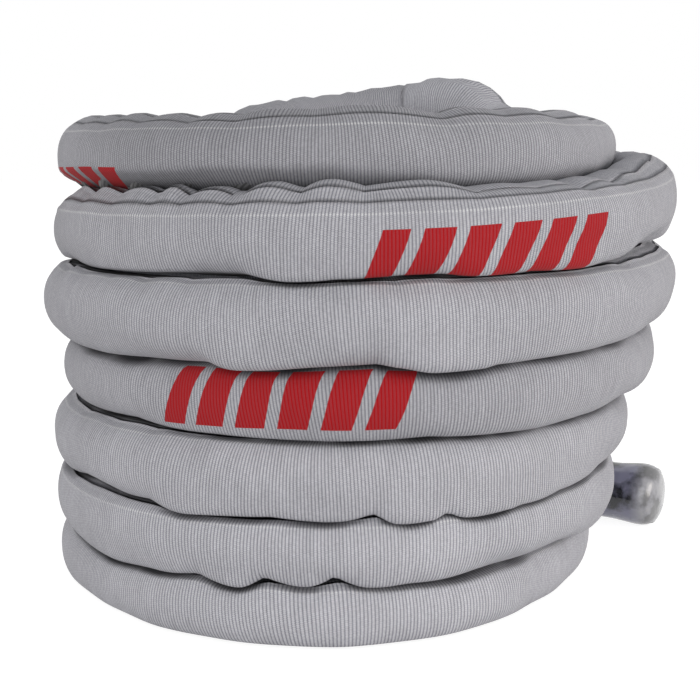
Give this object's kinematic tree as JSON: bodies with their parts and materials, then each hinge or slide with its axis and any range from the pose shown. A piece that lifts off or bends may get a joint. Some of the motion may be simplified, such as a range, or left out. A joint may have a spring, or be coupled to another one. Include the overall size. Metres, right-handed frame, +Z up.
{
  "type": "battle rope",
  "caption": "Thick laid rope in a baggy grey woven sleeve, wound into a standing coil, with a shrunk dark boot on each end.",
  "frame": {"origin": "middle of the whole part's base, on the surface that it stands on", "axes": "+Z up along the coil, +X to the side where the lower boot sticks out, -Y towards the side that the picture shows"},
  "size_m": [0.4916, 0.4722, 0.3673],
  "materials": {
    "grey_weave": "ribbed woven nylon tube, matt with a slight sheen",
    "black_fibre": "laid synthetic yarn",
    "black_tape": "wound adhesive tape",
    "slate_boot": "glossy heat-shrunk tube with a closed round end"
  },
  "bodies": {
    "root": {"woven_sleeve": "grey_weave", "strand_1": "black_fibre", "strand_2": "black_fibre", "strand_3": "black_fibre", "end_tape_lower": "black_tape", "end_tape_upper": "black_tape", "grip_boot_lower": "slate_boot", "grip_boot_upper": "slate_boot"}
  },
  "joints": []
}
